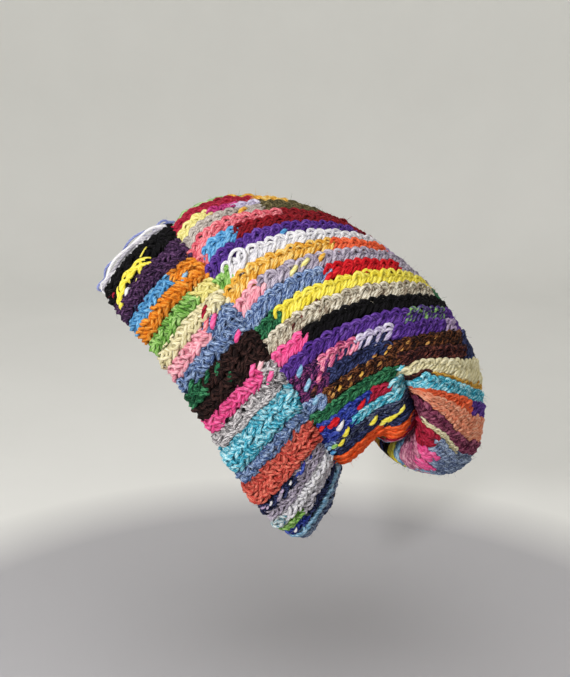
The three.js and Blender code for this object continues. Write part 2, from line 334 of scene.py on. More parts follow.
# Yarns of each crown row, from the ridge round by the left, with the station where each but the last ends.
CROWN_CHART = {
    0: "pale_green 3.6 golden 4.9 olive 6.2 beige_grey",
    1: "crimson 4.3 golden 4.9 olive 6.2 dark_red 7.4 denim",
    2: "crimson 4.3 golden 4.9 olive 5.9 dark_red 6.9 cream",
    3: "pale_yellow 3.35 magenta 3.9 lilac_white 4.4 olive 5.6 crimson",
    4: "beige_grey 4.4 olive 5.4 dark_red 6.6 slate",
    5: "coral_pink 4.6 dark_red 6.9 gold",
    6: "coral_pink 2.5 sky_blue 3.6 dark_red 6.7 purple",
    7: "purple 5.8 dark_red 7.2 leaf_green",
    8: "leaf_green 2.9 white 6.3 lilac",
    9: "golden 5.15 coral_orange 6.2 lilac",
    10: "light_pink 3.45 grey_lavender",
    11: "denim 4.8 red 6.25 grey_lavender",
    12: "dark_green 3.3 yellow 6.9 tan",
    13: "tan 6.8 dark_green",
    14: "hot_pink 3.7 black",
    15: "purple 5.9 green_purple 6.9 purple",
    16: "plum_mix 4.0 navy 5.4 purple 6.7 lilac 7.1 purple",
    17: "plum_mix 3.7 navy 5.3 brown_gold 7.2 navy",
    18: "denim 3.2 brown_gold 5.5 maroon_mix 7.2 navy",
    19: "dark_green 5.45 cream",
    20: "royal 4.5 crimson 5.2 turquoise 5.7 maroon_mix 6.3 gold",
    21: "royal 4.0 turquoise",
    22: "denim 2.8 navy_yellow 5.65 coral_orange 7.35 purple",
    23: "navy 5.8 peach",
    24: "orange 4.9 navy 5.8 peach",
    25: "orange 5.7 burgundy",
    26: "orange 5.7 burgundy 6.2 cream 7.3 slate",
    27: "orange 5.7 crimson 6.55 slate",
    28: "olive 5.5 crimson 6.4 hot_pink 6.9 slate",
    29: "dark_red 5.5 mauve 6.7 hot_pink 7.3 slate",
    30: "dark_red 5.5 mauve 7.2 light_blue",
    31: "royal 5.4 light_blue 6.2 mauve",
    32: "slate 5.2 light_blue 7.0 slate",
}
CROWN_CHART_END = 9

# The far side's rows were made from the same yarns, taken in turn. A crown row takes a new one now and then.
FAR_CROWN_STRIDE = 7
FAR_CHANGES = 0.45
FAR_STAGGER = 0.37
FAR_CUFF_STRIDE = 5
FAR_CUFF_START = 3
FAR_YARNS = [
    "coral_orange", "navy", "cream", "turquoise", "burgundy", "leaf_green", "white", "plum_mix", "gold",
    "dark_green", "coral_pink", "denim", "yellow", "brown", "lilac", "red", "grey_heather", "royal",
    "peach", "black", "sky_blue", "magenta", "tan", "purple", "light_pink", "olive",
]

# Yarns of each cuff row, with the share of the way up from the fold where each but the last ends.
CUFF_CHART = {
    0: "white 0.8 black",
    1: "white 0.1 black",
    2: "black",
    3: "aubergine",
    4: "aubergine",
    5: "sky_blue 0.58 cuff_orange",
    6: "cuff_orange",
    7: "leaf_green 0.62 pale_yellow",
    8: "cream",
    9: "light_pink 0.55 denim",
    10: "denim",
    11: "dark_green 0.38 brown",
    12: "brown",
    13: "hot_pink 0.66 grey_heather",
    14: "grey_heather",
    15: "turquoise",
    16: "turquoise",
    17: "denim",
    18: "coral",
    19: "coral",
    20: "navy 0.5 grey_lavender",
    21: "grey_lavender",
    22: "teal_white 0.3 white",
    23: "leaf_green 0.4 pale_grey",
    24: "royal 0.4 navy",
    25: "light_blue",
    26: "slate",
    27: "navy",
    56: "periwinkle",
    57: "periwinkle 0.9 white",
}

# Stitches whose loops and first posts are of another yarn: (station where it begins, where it ends, yarn).
STITCH_CHART = {
    16: [(3.5, 4.7, "pink_mix"), (4.7, 5.45, "lilac_white")],
}
INNER_END = 1.4


def far_yarn(number):
    return FAR_YARNS[number % len(FAR_YARNS)]


def yarn_at(chart, row, at, far):
    names = chart.get(row, far).split()
    for yarn, end in zip(names[::2], names[1::2]):
        if at <= float(end):
            return yarn
    return names[-1]


def cuff_yarn(row, at):
    return yarn_at(CUFF_CHART, row, at, far_yarn(row * FAR_CUFF_STRIDE + FAR_CUFF_START))


def crown_yarn(row, station):
    """The crown's yarn, which is the cuff's own where the cloth comes up from the fold."""
    if station < INNER_END:
        return cuff_yarn(row, 0.0)
    far = far_yarn(row * FAR_CROWN_STRIDE + int(station * FAR_CHANGES + row * FAR_STAGGER))
    return far if station > CROWN_CHART_END else yarn_at(CROWN_CHART, row, station, far)


def stitch_yarn(row, station):
    for begin, end, yarn in STITCH_CHART.get(row, []):
        if begin < station <= end:
            return yarn
    return crown_yarn(row, station)


def linear(code):
    """The linear values of a colour given as #rrggbb."""
    c = np.array([int(code[k:k + 2], 16) for k in (1, 3, 5)]) / 255
    c = np.where(c <= 0.04045, c / 12.92, ((c + 0.055) / 1.055) ** 2.4)
    return (*c.tolist(), 1.0)


def add_node(tree, kind, inputs=None, **settings):
    """Adds a node. Each input is a socket with its value or with the output that feeds it."""
    made = tree.nodes.new(kind)
    for key, value in settings.items():
        setattr(made, key, value)
    for socket, value in (inputs or {}).items():
        if isinstance(value, bpy.types.NodeSocket):
            tree.links.new(value, made.inputs[socket])
        else:
            made.inputs[socket].default_value = value
    return made


def mix_colours(tree, factor, low, high, blend="MIX"):
    inputs = {"Factor": factor, "A": low, "B": high}
    return add_node(tree, "ShaderNodeMix", inputs, data_type="RGBA", blend_type=blend).outputs["Result"]


# The yarn's plies, how many of them pass in a millimetre along it, and how far they and its fibres stand out.
PLIES = 3.0
TWIST = 0.24
# Ply value above which the colour gets a painted highlight, as on a crest, and below which painted shade, as
# in a groove.
PLY_MIDDLE = 0.62
FIBRE_BUMP = 0.9
PLY_BUMP = 0.45


# One node group mixes every yarn: plies that twist round the strand, fine fibres and dyed blotches, and
# paints shade into the gaps between stitches.
def make_yarn_group():
    group = bpy.data.node_groups.new("yarn", "ShaderNodeTree")
    face = group.interface
    for name in ("dark", "middle", "light"):
        face.new_socket(name, in_out="INPUT", socket_type="NodeSocketColor")
    for name in ("blotches", "fibres"):
        face.new_socket(name, in_out="INPUT", socket_type="NodeSocketFloat")
    face.new_socket("colour", in_out="OUTPUT", socket_type="NodeSocketColor")
    face.new_socket("normal", in_out="OUTPUT", socket_type="NodeSocketVector")

    def maths(operation, *values, clamp=False):
        inputs = dict(enumerate(values))
        return add_node(group, "ShaderNodeMath", inputs, operation=operation, use_clamp=clamp).outputs[0]

    def times(a, b, clamp=False):
        return maths("MULTIPLY", a, b, clamp=clamp)

    def plus(a, b, clamp=False):
        return maths("ADD", a, b, clamp=clamp)

    def swing(value, gain, middle=0.5):
        """How far a value lies from its middle, times a gain."""
        return times(maths("SUBTRACT", value, middle), gain)

    def noise(x, y, scale, detail):
        seeded = add_node(group, "ShaderNodeCombineXYZ", {0: x, 1: y, 2: times(shade, 57.0)}).outputs[0]
        inputs = {"Vector": seeded, "Scale": scale, "Detail": detail}
        return add_node(group, "ShaderNodeTexNoise", inputs).outputs["Fac"]

    given = add_node(group, "NodeGroupInput").outputs
    twist = add_node(group, "ShaderNodeUVMap", uv_map="twist").outputs[0]
    split = add_node(group, "ShaderNodeSeparateXYZ", {0: twist}).outputs
    along = split[0]
    around = split[1]
    shade = add_node(group, "ShaderNodeAttribute", attribute_name="shade").outputs["Fac"]
    # Painted shade: how far each point lies in the gaps between stitches, where shade falls.
    painted_shade = add_node(group, "ShaderNodeAttribute", attribute_name="painted_shade").outputs["Fac"]

    phase = plus(times(along, TWIST), times(around, PLIES))
    ply = maths("ABSOLUTE", maths("SINE", times(phase, math.pi)))
    fibre = noise(times(along, 0.35), times(phase, 2.2), 1.6, 3.0)
    fuzz = noise(times(along, 1.1), times(phase, 7.0), 2.0, 2.0)
    blotch = noise(times(along, 0.16), times(shade, 9.0), 1.0, 1.0)

    fine_part = plus(times(swing(fibre, 2.4), given["fibres"]), times(swing(fuzz, 1.8), given["fibres"]))
    blotch_part = times(swing(blotch, 4.0), given["blotches"])
    # Painted highlight on the ply crests and painted shade in their grooves, with each strand's own random
    # tone.
    ply_shading_and_tone = plus(swing(ply, 0.5, PLY_MIDDLE), swing(shade, 0.35))
    tone = plus(plus(plus(fine_part, blotch_part), ply_shading_and_tone), 0.5, clamp=True)

    lower = mix_colours(group, times(tone, 2.0, clamp=True), given["dark"], given["middle"])
    above_middle = maths("SUBTRACT", times(tone, 2.0), 1.0, clamp=True)
    upper = mix_colours(group, above_middle, lower, given["light"])
    # Painted shade: in the gaps the colour darkens towards the yarn's dark colour, less so for pale yarns.
    brightness = add_node(group, "ShaderNodeRGBToBW", {0: given["dark"]}).outputs[0]
    gap_shade_colour = mix_colours(group, 1.0, given["dark"], plus(times(brightness, 0.8), 0.2), "MULTIPLY")

    height = plus(times(ply, PLY_BUMP), times(fuzz, FIBRE_BUMP))
    bump = add_node(group, "ShaderNodeBump", {"Strength": 0.7, "Distance": 0.0006, "Height": height})
    # The yarn's colour with the painted shade of the gaps mixed over it.
    results = {"colour": mix_colours(group, painted_shade, upper, gap_shade_colour), "normal": bump.outputs[0]}
    add_node(group, "NodeGroupOutput", results)
    return group


YARN_SURFACE = {"Roughness": 0.8, "Specular IOR Level": 0.15, "Sheen Weight": 0.01, "Sheen Roughness": 0.4}
yarn_group = make_yarn_group()
yarn_materials = {}


def yarn_material(name):
    if name not in yarn_materials:
        dark, middle, light, blotches, fibres = YARNS[name]
        material = bpy.data.materials.new("yarn_" + name)
        material.use_nodes = True
        tree = material.node_tree
        tree.nodes.clear()
        values = {"dark": linear(dark), "middle": linear(middle), "light": linear(light)}
        values.update(blotches=blotches, fibres=fibres)
        mixed = add_node(tree, "ShaderNodeGroup", values, node_tree=yarn_group).outputs
        look = {"Base Color": mixed["colour"], "Normal": mixed["normal"], **YARN_SURFACE}
        surface = add_node(tree, "ShaderNodeBsdfPrincipled", look)
        add_node(tree, "ShaderNodeOutputMaterial", {0: surface.outputs[0]})
        yarn_materials[name] = material
    return yarn_materials[name]


class Cloth:
    """Gathers strands of yarn and the bodies of rows into one mesh."""

    def __init__(self, name):
        self.name = name
        self.points = []
        self.shades = []
        self.painted_shades = []
        self.corners = []
        self.sizes = []
        self.maps = []
        self.slots = []
        self.yarns = []
        self.count = 0

    def slot_of(self, yarn):
        if yarn not in self.yarns:
            self.yarns.append(yarn)
        return self.yarns.index(yarn)

    def tubes(self, rings, along, yarns, shades, painted_shades):
        """Adds closed tubes. rings is strands x steps x sides x 3; the painted shade in the gaps is one value
        a step or one a point.
        """
        strands, steps, sides, _ = rings.shape
        index = self.count + np.arange(strands * steps * sides).reshape(strands, steps, sides)
        self.count += strands * steps * sides
        self.points.append(rings.reshape(-1, 3))
        self.shades.append(np.repeat(shades, steps * sides))
        self.painted_shades.append(np.repeat(painted_shades.reshape(-1), sides) if painted_shades.ndim == 2 else painted_shades.reshape(-1))
        after = np.roll(index, -1, 2)
        quads = np.stack([index[:, :-1], index[:, 1:], after[:, 1:], after[:, :-1]], -1)
        turn = np.arange(sides) / sides
        low = np.broadcast_to(turn, (strands, steps - 1, sides))
        high = low + 1 / sides
        near = np.broadcast_to(along[:, :-1, None], low.shape)
        far = np.broadcast_to(along[:, 1:, None], low.shape)
        maps = np.stack([near, low, far, low, far, high, near, high], -1)
        slots = np.array([[self.slot_of(yarn) for yarn in run] for run in yarns])
        self.corners.append(quads.reshape(-1))
        self.sizes.append(np.full(strands * (steps - 1) * sides, 4))
        self.maps.append(maps.reshape(-1, 2))
        self.slots.append(np.repeat(slots.reshape(-1), sides))
        starts = index[:, 0, :]
        ends = index[:, -1, ::-1]
        for caps, at, slot in ((starts, along[:, 0], slots[:, 0]), (ends, along[:, -1], slots[:, -1])):
            self.corners.append(caps.reshape(-1))
            self.sizes.append(np.full(strands, sides))
            self.maps.append(np.stack([np.repeat(at, sides), np.tile(turn, strands)], -1))
            self.slots.append(slot)

    def make(self):
        mesh = bpy.data.meshes.new(self.name)
        points = np.concatenate(self.points) * MM
        corners = np.concatenate(self.corners)
        sizes = np.concatenate(self.sizes)
        mesh.vertices.add(len(points))
        mesh.vertices.foreach_set("co", points.astype(np.float32).ravel())
        mesh.loops.add(len(corners))
        mesh.loops.foreach_set("vertex_index", corners.astype(np.int32))
        mesh.polygons.add(len(sizes))
        starts = np.concatenate([[0], np.cumsum(sizes)[:-1]])
        mesh.polygons.foreach_set("loop_start", starts.astype(np.int32))
        mesh.polygons.foreach_set("material_index", np.concatenate(self.slots).astype(np.int32))
        mesh.update(calc_edges=True)
        layer = mesh.uv_layers.new(name="twist", do_init=False)
        layer.uv.foreach_set("vector", np.concatenate(self.maps).astype(np.float32).ravel())
        # Each point's random tone, and its painted shade in the gaps between stitches.
        for name, values in (("shade", self.shades), ("painted_shade", self.painted_shades)):
            held = mesh.attributes.new(name, "FLOAT", "POINT")
            held.data.foreach_set("value", np.concatenate(values).astype(np.float32))
        mesh.polygons.foreach_set("use_smooth", np.ones(len(sizes), bool))
        mesh.validate()
        piece = bpy.data.objects.new(self.name, mesh)
        bpy.context.scene.collection.objects.link(piece)
        for yarn in self.yarns:
            mesh.materials.append(yarn_material(yarn))
        return piece


ROW_STEPS = 240


class Row:
    """One row of crochet on a sheet, measured in millimetres along its middle."""

    def __init__(self, sheet, row, shift, begin, end):
        self.sheet = sheet
        self.row = row
        self.shift = shift
        self.at = np.linspace(begin, end, ROW_STEPS)
        middle = np.full(ROW_STEPS, row + 0.5)
        self.lengths = distances(sheet.place(self.at, middle + shift(self.at, middle), np.zeros(ROW_STEPS)))
        self.length = self.lengths[-1]

    def station(self, distance):
        return np.interp(distance, self.lengths, self.at)

    def around(self, at, across):
        row = self.row + across
        return row + self.shift(at, row)

    def width(self, at, across):
        """The row's width where it fans out or draws together, as a share of an even row."""
        spread = 1 + self.shift(at, self.row + 1.0) - self.shift(at, self.row)
        return self.sheet.width(at, self.around(at, across)) * spread / ROW_WIDTH


# Where a row draws together, its strands follow its width only between these limits.
WIDTH_LIMITS = (0.3, 1.15)
HEIGHT_LIMITS = (0.55, 1.0)
RADIUS_LIMITS = (0.5, 1.1)
BODY_WIDTH_LIMITS = (0.3, 1.0)
BODY_HEIGHT_LIMITS = (0.5, 1)
# The body's outline below this height is the cloth's inner face, which doesn't swell.
INNER_FACE = -3.2
# A strand's thickness, and the painted shade on its ends where they sink into the gaps between stitches, from
# one end to the other.
TAPER = ([0, 0.12, 0.88, 1], [0.75, 1, 1, 0.75])
PAINTED_GAP_SHADE = ([0, 0.25, 0.75, 1], [0.55, 0.0, 0.0, 0.55])


def sweep(centre, outward, radius, sides):
    """The rings of a tube round a line of centres, with the way out from the cloth at each of them."""
    tangent = unit(np.gradient(centre, axis=-2))
    side = unit(np.cross(tangent, outward))[..., None, :]
    up = np.cross(side, tangent[..., None, :])
    turn = 2 * np.pi * np.arange(sides)[:, None] / sides
    return centre[..., None, :] + radius[..., None, None] * (np.cos(turn) * side + np.sin(turn) * up)


def strand_rings(row, controls, radius, steps, sides, swell):
    """Sweeps a round section through controls, strands x points x (distance, share across, height)."""
    path = np.moveaxis(through(np.moveaxis(controls, 1, 0), steps), 0, 1)
    at = row.station(path[..., 0])
    around = row.around(at, path[..., 1])
    width = np.clip(row.width(at, path[..., 1]), *WIDTH_LIMITS)
    height = (path[..., 2] + swell(at, path[..., 1])) * np.clip(width, *HEIGHT_LIMITS)
    centre = row.sheet.place(at, around, height)
    fine = radius[:, None] * np.clip(width, *RADIUS_LIMITS) * np.interp(np.linspace(0, 1, steps), *TAPER)
    return sweep(centre, row.sheet.normal(at, around), fine, sides), distances(centre), at


# One strand of a stitch: its points, its radius in millimetres, the steps and sides of its tube, how much it
# wanders and the share of such strands that are turned to slant back.
Strand = namedtuple("Strand", "points radius steps sides wander turned", defaults=(1.0, 0.0))

# How unlike its neighbours a strand is: millimetres along, share across and millimetres up, first for the
# whole strand and then for each point. Its size differs too, and where its plies start, in millimetres.
DRIFT = (0.3, 0.03, 0.22)
WOBBLE = (0.16, 0.016, 0.14)
SIZE_SPREAD = 0.06
PLY_START = 40


def lay_strands(cloth, row, strand, starts, pitch, yarn_of, swell, edge=None):
    """Repeats one strand of a stitch at each start along a row."""
    count = len(starts)
    steps = strand.steps
    controls = np.broadcast_to(np.array(strand.points, float), (count, len(strand.points), 3)).copy()
    controls[..., 0] = starts[:, None] + controls[..., 0] * pitch
    drift = rng.normal(0, 1, (count, 1, 3)) * DRIFT
    wobble = rng.normal(0, 1, controls.shape) * WOBBLE
    controls += (drift + wobble) * strand.wander
    backward = rng.random(count) < strand.turned
    across = controls[..., 1]
    across[backward] = 2 * across[backward].mean(1, keepdims=True) - across[backward]
    sizes = strand.radius * rng.normal(1, SIZE_SPREAD, count)
    rings, along, at = strand_rings(row, controls, sizes, steps, strand.sides, swell)
    yarns = [[yarn_of(value)] * (steps - 1) for value in at[:, steps // 2]]
    shades = rng.random(count)
    # Painted shade on the strand's ends, where they dip into the gaps.
    painted_shades = np.broadcast_to(np.interp(np.linspace(0, 1, steps), *PAINTED_GAP_SHADE), (count, steps))
    # Painted shade in the creases at the edges of the cuff's bands.
    if edge:
        painted_shades = np.clip(painted_shades + edge(across.mean(1))[:, None], 0, 1)
    cloth.tubes(rings, along + shades[:, None] * PLY_START, yarns, shades, painted_shades)
    lay_fuzz(cloth, rings, yarns)


FUZZ_SHARE = 0.4
FUZZ_LENGTH = (2.0, 5.5)
FUZZ_RADIUS = (0.1, 0.04)
FUZZ_LEAN = 0.55
FUZZ_SIDES = 3


def lay_fuzz(cloth, rings, yarns):
    """Fine loose fibres that stand off some of the strands."""
    strands, steps, sides, _ = rings.shape
    chosen = np.flatnonzero(rng.random(strands) < FUZZ_SHARE)
    if len(chosen) == 0:
        return
    step = rng.integers(1, steps - 1, len(chosen))
    side = rng.integers(0, sides, len(chosen))
    root = rings[chosen, step, side]
    outward = unit(root - rings[chosen, step].mean(1))
    lean = rng.normal(0, 1, (len(chosen), 3))
    aim = unit(outward + FUZZ_LEAN * lean)
    tip = root + aim * rng.uniform(*FUZZ_LENGTH, len(chosen))[:, None]
    radius = np.tile(FUZZ_RADIUS, (len(chosen), 1))
    fibres = sweep(np.stack([root, tip], 1), lean[:, None], radius, FUZZ_SIDES)
    along = np.tile([0.0, 1.0], (len(chosen), 1))
    names = [[yarns[k][0]] for k in chosen]
    cloth.tubes(fibres, along, names, rng.random(len(chosen)), np.zeros((len(chosen), 2)))


def lay_body(cloth, row, outline, begin, end, step, yarn_of, swell):
    """The row's body: a flattened closed tube whose outline is (share across, height, painted shade)."""
    count = int(row.length / step)
    at = np.linspace(begin, end, count)
    section = np.array(outline)
    sides = len(section)
    grid_at = np.broadcast_to(at[:, None], (count, sides))
    across = np.broadcast_to(section[:, 0], (count, sides))
    width = np.clip(row.width(grid_at, across), *BODY_WIDTH_LIMITS)
    lift = np.where(section[:, 1] > INNER_FACE, 1.0, 0.0) * swell(grid_at, across)
    height = section[:, 1] * np.clip(width, *BODY_HEIGHT_LIMITS) + lift
    rings = row.sheet.place(grid_at, row.around(grid_at, across), height)[None]
    along = distances(rings.mean(2))
    yarns = [[yarn_of(value) for value in (at[1:] + at[:-1]) / 2]]
    # Each outline point's painted shade is carried along the tube.
    cloth.tubes(rings, along, yarns, rng.random(1), np.tile(section[:, 2], count))


# Each stitch's strands on the crown: (share of the pitch along, share across the row, height).
# The front loop arches over the upper edge and leans forward over its neighbour, above slanting posts.
FRONT_LOOP = Strand(radius=1.4, steps=9, sides=5, wander=1.7, points=[
    (-0.24, 0.54, -0.8), (-0.06, 0.31, 0.9), (0.15, 0.1, 1.7), (0.46, -0.04, 2.1), (0.8, 0.01, 1.8),
    (1.06, 0.17, 1.2), (1.24, 0.38, -0.3),
])
BACK_LOOP = Strand(radius=1.25, steps=5, sides=4, wander=1.4, points=[
    (-0.16, 0.34, -0.6), (0.12, 0.22, 0.7), (0.5, 0.15, 1.1), (0.86, 0.22, 0.7), (1.12, 0.36, -0.6),
])
POST = Strand(radius=1.25, steps=5, sides=4, wander=1.6, points=[
    (-0.55, 1.02, -1.0), (-0.3, 0.86, 0.6), (0.0, 0.66, 1.2), (0.3, 0.45, 0.9), (0.52, 0.26, -0.6),
])
POSTS_IN_STITCH = 3

# The cuff shows the cloth's other face: short strands in three lines along each row.
CUFF_PITCH = 3.4
CUFF_LINES = [
    [(-0.5, 0.0, -0.8), (-0.1, 0.1, 0.7), (0.3, 0.22, 1.0), (0.7, 0.34, 0.5), (0.95, 0.42, -0.8)],
    [(-0.6, 0.3, -0.8), (-0.1, 0.42, 0.9), (0.4, 0.52, 1.2), (0.8, 0.62, 0.7), (1.1, 0.7, -0.8)],
    [(-0.5, 1.02, -0.8), (-0.15, 0.92, 0.6), (0.25, 0.82, 1.0), (0.7, 0.72, 0.5), (1.0, 0.64, -0.8)],
]
CUFF_STRANDS = [Strand(line, radius=1.25, steps=6, sides=4, wander=2.2, turned=0.25) for line in CUFF_LINES]
LOW_BAR = Strand(radius=1.0, steps=5, sides=4, points=[
    (-0.4, 0.0, -0.8), (0.2, -0.04, 0.5), (0.9, 0.03, 0.6), (1.5, 0.0, -0.8),
])
# At its ends a row turns back on itself: millimetres from the end, share across the row, height.
ROW_TURN = Strand(radius=1.4, steps=9, sides=6, points=[
    (3.6, 0.06, -0.9), (1.9, 0.14, 0.6), (0.9, 0.34, 1.0), (0.7, 0.62, 1.0), (1.7, 0.86, 0.6),
    (3.6, 0.94, -0.9),
])

# The outline of a row's body: (share across the row, height, painted shade where it shows in the gaps between
# stitches).
CROWN_OUTLINE = [
    (-0.02, -2.4, 0.8), (0.1, -0.4, 0.5), (0.3, 0.5, 0.36), (0.55, 0.7, 0.28), (0.8, 0.4, 0.36),
    (0.97, -1.2, 0.7), (1.02, -3.0, 0.9), (0.9, -4.6, 0.35), (0.7, -5.2, 0.05), (0.4, -5.4, 0.0),
    (0.14, -4.9, 0.25), (-0.02, -4.2, 0.8),
]
CUFF_OUTLINE = [
    (-0.02, -1.9, 0.9), (0.15, -0.4, 0.6), (0.4, 0.1, 0.5), (0.62, 0.1, 0.5), (0.86, -0.4, 0.6),
    (1.02, -1.9, 0.9), (0.9, -3.6, 0.8), (0.5, -4.0, 0.8), (0.1, -3.6, 0.8),
]
CROWN_BODY_STEP = 5.0
CUFF_BODY_STEP = 2.2

# The cuff's rows puff out in bands. Each is (first row, rows in it, height).
CUFF_BANDS = [
    (57, 1, 0.3), (0, 1, 0.6), (1, 2, 1.2), (3, 2, 1.8), (5, 2, 2.2), (7, 1, 0.8), (8, 1, 1.2),
    (9, 1, 0.8), (10, 1, 1.0), (11, 2, 2.4), (13, 1, 1.0), (14, 1, 0.8), (15, 2, 2.9), (17, 1, 0.8),
    (18, 2, 2.7), (20, 1, 0.3), (21, 1, 0.4), (22, 1, 1.8), (23, 1, 0.6), (24, 1, 0.4),
]
FAR_BAND_ROWS = 2
FAR_BAND_HEIGHT = 1.6
BULGE_POWER = 0.6
# The strongest painted shade in the creases between the cuff's bands.
PAINTED_CREASE_SHADE = 0.6


def band_of(row):
    for first, rows, height in CUFF_BANDS:
        if first <= row < first + rows:
            return first, rows, height
    return row // FAR_BAND_ROWS * FAR_BAND_ROWS, FAR_BAND_ROWS, FAR_BAND_HEIGHT


def flat(at, across):
    return np.zeros(np.shape(across))


def cuff_band(row):
    """How far a cuff row stands out, and the painted shade it gets towards its band's edges, where the bands
    crease.
    """
    first, rows, height = band_of(row)

    def bulge(across):
        share = np.clip((row - first + np.asarray(across)) / rows, 0, 1)
        return (1 - (2 * share - 1) ** 2) ** BULGE_POWER

    def swell(at, across):
        ends = ramp(0.05, 0.3, at) * (1 - ramp(0.86, 1.0, at))
        return height * bulge(across) * ends

    # Painted shade in the creases between the cuff's bands.
    def edge(across):
        return PAINTED_CREASE_SHADE * (1 - bulge(across))

    return swell, edge


CROWN_BEGIN = 0.2
CROWN_END = LAST_STATION - END_MARGIN
STITCHES_BEGIN = 1.86
STITCHES_END = 11.6
# How far along the cuff its chart of yarns reaches, and how unevenly the rows' stitches start, in stitches.
CUFF_CHART_END = 0.95
CROWN_START_SPREAD = 0.3
CUFF_START_SPREAD = 0.4
CUFF_LAST_STITCH = 0.8


def dress_crown_row(cloth, number):
    def yarn_of(at):
        return crown_yarn(number, at)

    def loop_of(at):
        return stitch_yarn(number, at)

    whole = Row(crown, number, crown_shift, CROWN_BEGIN, CROWN_END)
    lay_body(cloth, whole, CROWN_OUTLINE, CROWN_BEGIN, CROWN_END, CROWN_BODY_STEP, yarn_of, flat)
    row = Row(crown, number, crown_shift, STITCHES_BEGIN, STITCHES_END)
    count = int(round(row.length / STITCH_PITCH))
    pitch = row.length / count
    starts = (np.arange(count) + rng.uniform(-CROWN_START_SPREAD, CROWN_START_SPREAD)) * pitch
    for post in range(POSTS_IN_STITCH):
        ahead = pitch * post / POSTS_IN_STITCH
        post_of = loop_of if post < POSTS_IN_STITCH - 1 else yarn_of
        lay_strands(cloth, row, POST, starts + ahead, pitch, post_of, flat)
    lay_strands(cloth, row, BACK_LOOP, starts, pitch, loop_of, flat)
    lay_strands(cloth, row, FRONT_LOOP, starts, pitch, loop_of, flat)


def dress_cuff_row(cloth, number):
    def yarn_of(at):
        return cuff_yarn(number, min((at - CUFF_FOLD) / (CUFF_CHART_END - CUFF_FOLD), 1.0))

    row = Row(cuff, number, cuff_shift, 0.0, 1.0)
    swell, edge = cuff_band(number)
    lay_body(cloth, row, CUFF_OUTLINE, 0.0, 1.0, CUFF_BODY_STEP, yarn_of, swell)
    count = int(round(row.length / CUFF_PITCH))
    pitch = row.length / count
    starts = (np.arange(count) + rng.uniform(-CUFF_START_SPREAD, CUFF_START_SPREAD)) * pitch
    starts = starts[starts < row.length - CUFF_LAST_STITCH * pitch]
    if number == band_of(number)[0]:
        lay_strands(cloth, row, LOW_BAR, starts[::2], pitch, yarn_of, swell)
    for strand in CUFF_STRANDS:
        begin = starts + rng.uniform(0, pitch)
        begin = begin[begin < row.length - pitch]
        lay_strands(cloth, row, strand, begin, pitch, yarn_of, swell, edge)
    points = [(row.length - inward, across, height) for inward, across, height in ROW_TURN.points]
    lay_strands(cloth, row, ROW_TURN._replace(points=points), np.zeros(1), 1.0, yarn_of, swell)


# Single stitches of another yarn: (yarn, places), each place (row, station or share of the way up the cuff).
CROWN_ACCENTS = [
    ("light_blue", [(15.9, 2.86), (17.0, 2.82), (18.1, 2.85), (22.5, 2.4)]),
    ("sky_blue", [(23.2, 2.44), (7.8, 4.42)]),
    ("red", [(11.8, 4.7), (11.6, 4.9), (20.3, 3.06), (20.4, 3.3), (20.3, 2.46), (20.5, 4.3)]),
    ("white", [(20.9, 3.36)]),
    ("yellow", [(23.8, 4.86), (23.5, 4.98), (23.6, 5.08), (23.3, 5.2), (23.0, 5.36), (22.7, 4.52)]),
    ("yellow", [(21.8, 3.46), (22.2, 3.1)]), ("leaf_green", [(22.4, 2.7)]), ("pink_mix", [(17.1, 3.4)]),
    ("golden", [(4.6, 4.0)]), ("maroon_mix", [(17.5, 2.95)]), ("pale_yellow", [(10.4, 4.5), (10.6, 4.2)]),
    ("golden", [(10.3, 4.8)]), ("turquoise", [(19.1, 5.5)]),
]
CUFF_ACCENTS = [
    ("yellow", [(3.6, 0.43), (3.0, 0.46), (2.7, 0.5), (2.6, 0.55), (2.8, 0.6)]), ("white", [(3.3, 0.5)]),
    ("light_blue", [(6.1, 0.69), (6.2, 0.51)]), ("coral_pink", [(9.2, 0.64)]), ("hot_pink", [(9.3, 0.67)]),
    ("light_pink", [(9.8, 0.57)]), ("hot_pink", [(10.9, 0.72), (12.8, 0.68), (13.9, 0.74)]),
    ("light_pink", [(13.0, 0.72)]), ("dark_green", [(11.5, 0.58), (11.3, 0.53), (12.3, 0.6), (10.9, 0.44)]),
    ("crimson", [(8.6, 0.66)]), ("royal", [(20.5, 0.62)]), ("grey_lavender", [(20.5, 0.5)]),
]
ACCENT = Strand(radius=1.6, steps=8, sides=6, points=[
    (-3.6, 0.26, -0.6), (-1.8, 0.12, 2.0), (0.2, 0.0, 2.8), (2.2, -0.14, 2.1), (3.8, -0.28, -0.4),
])

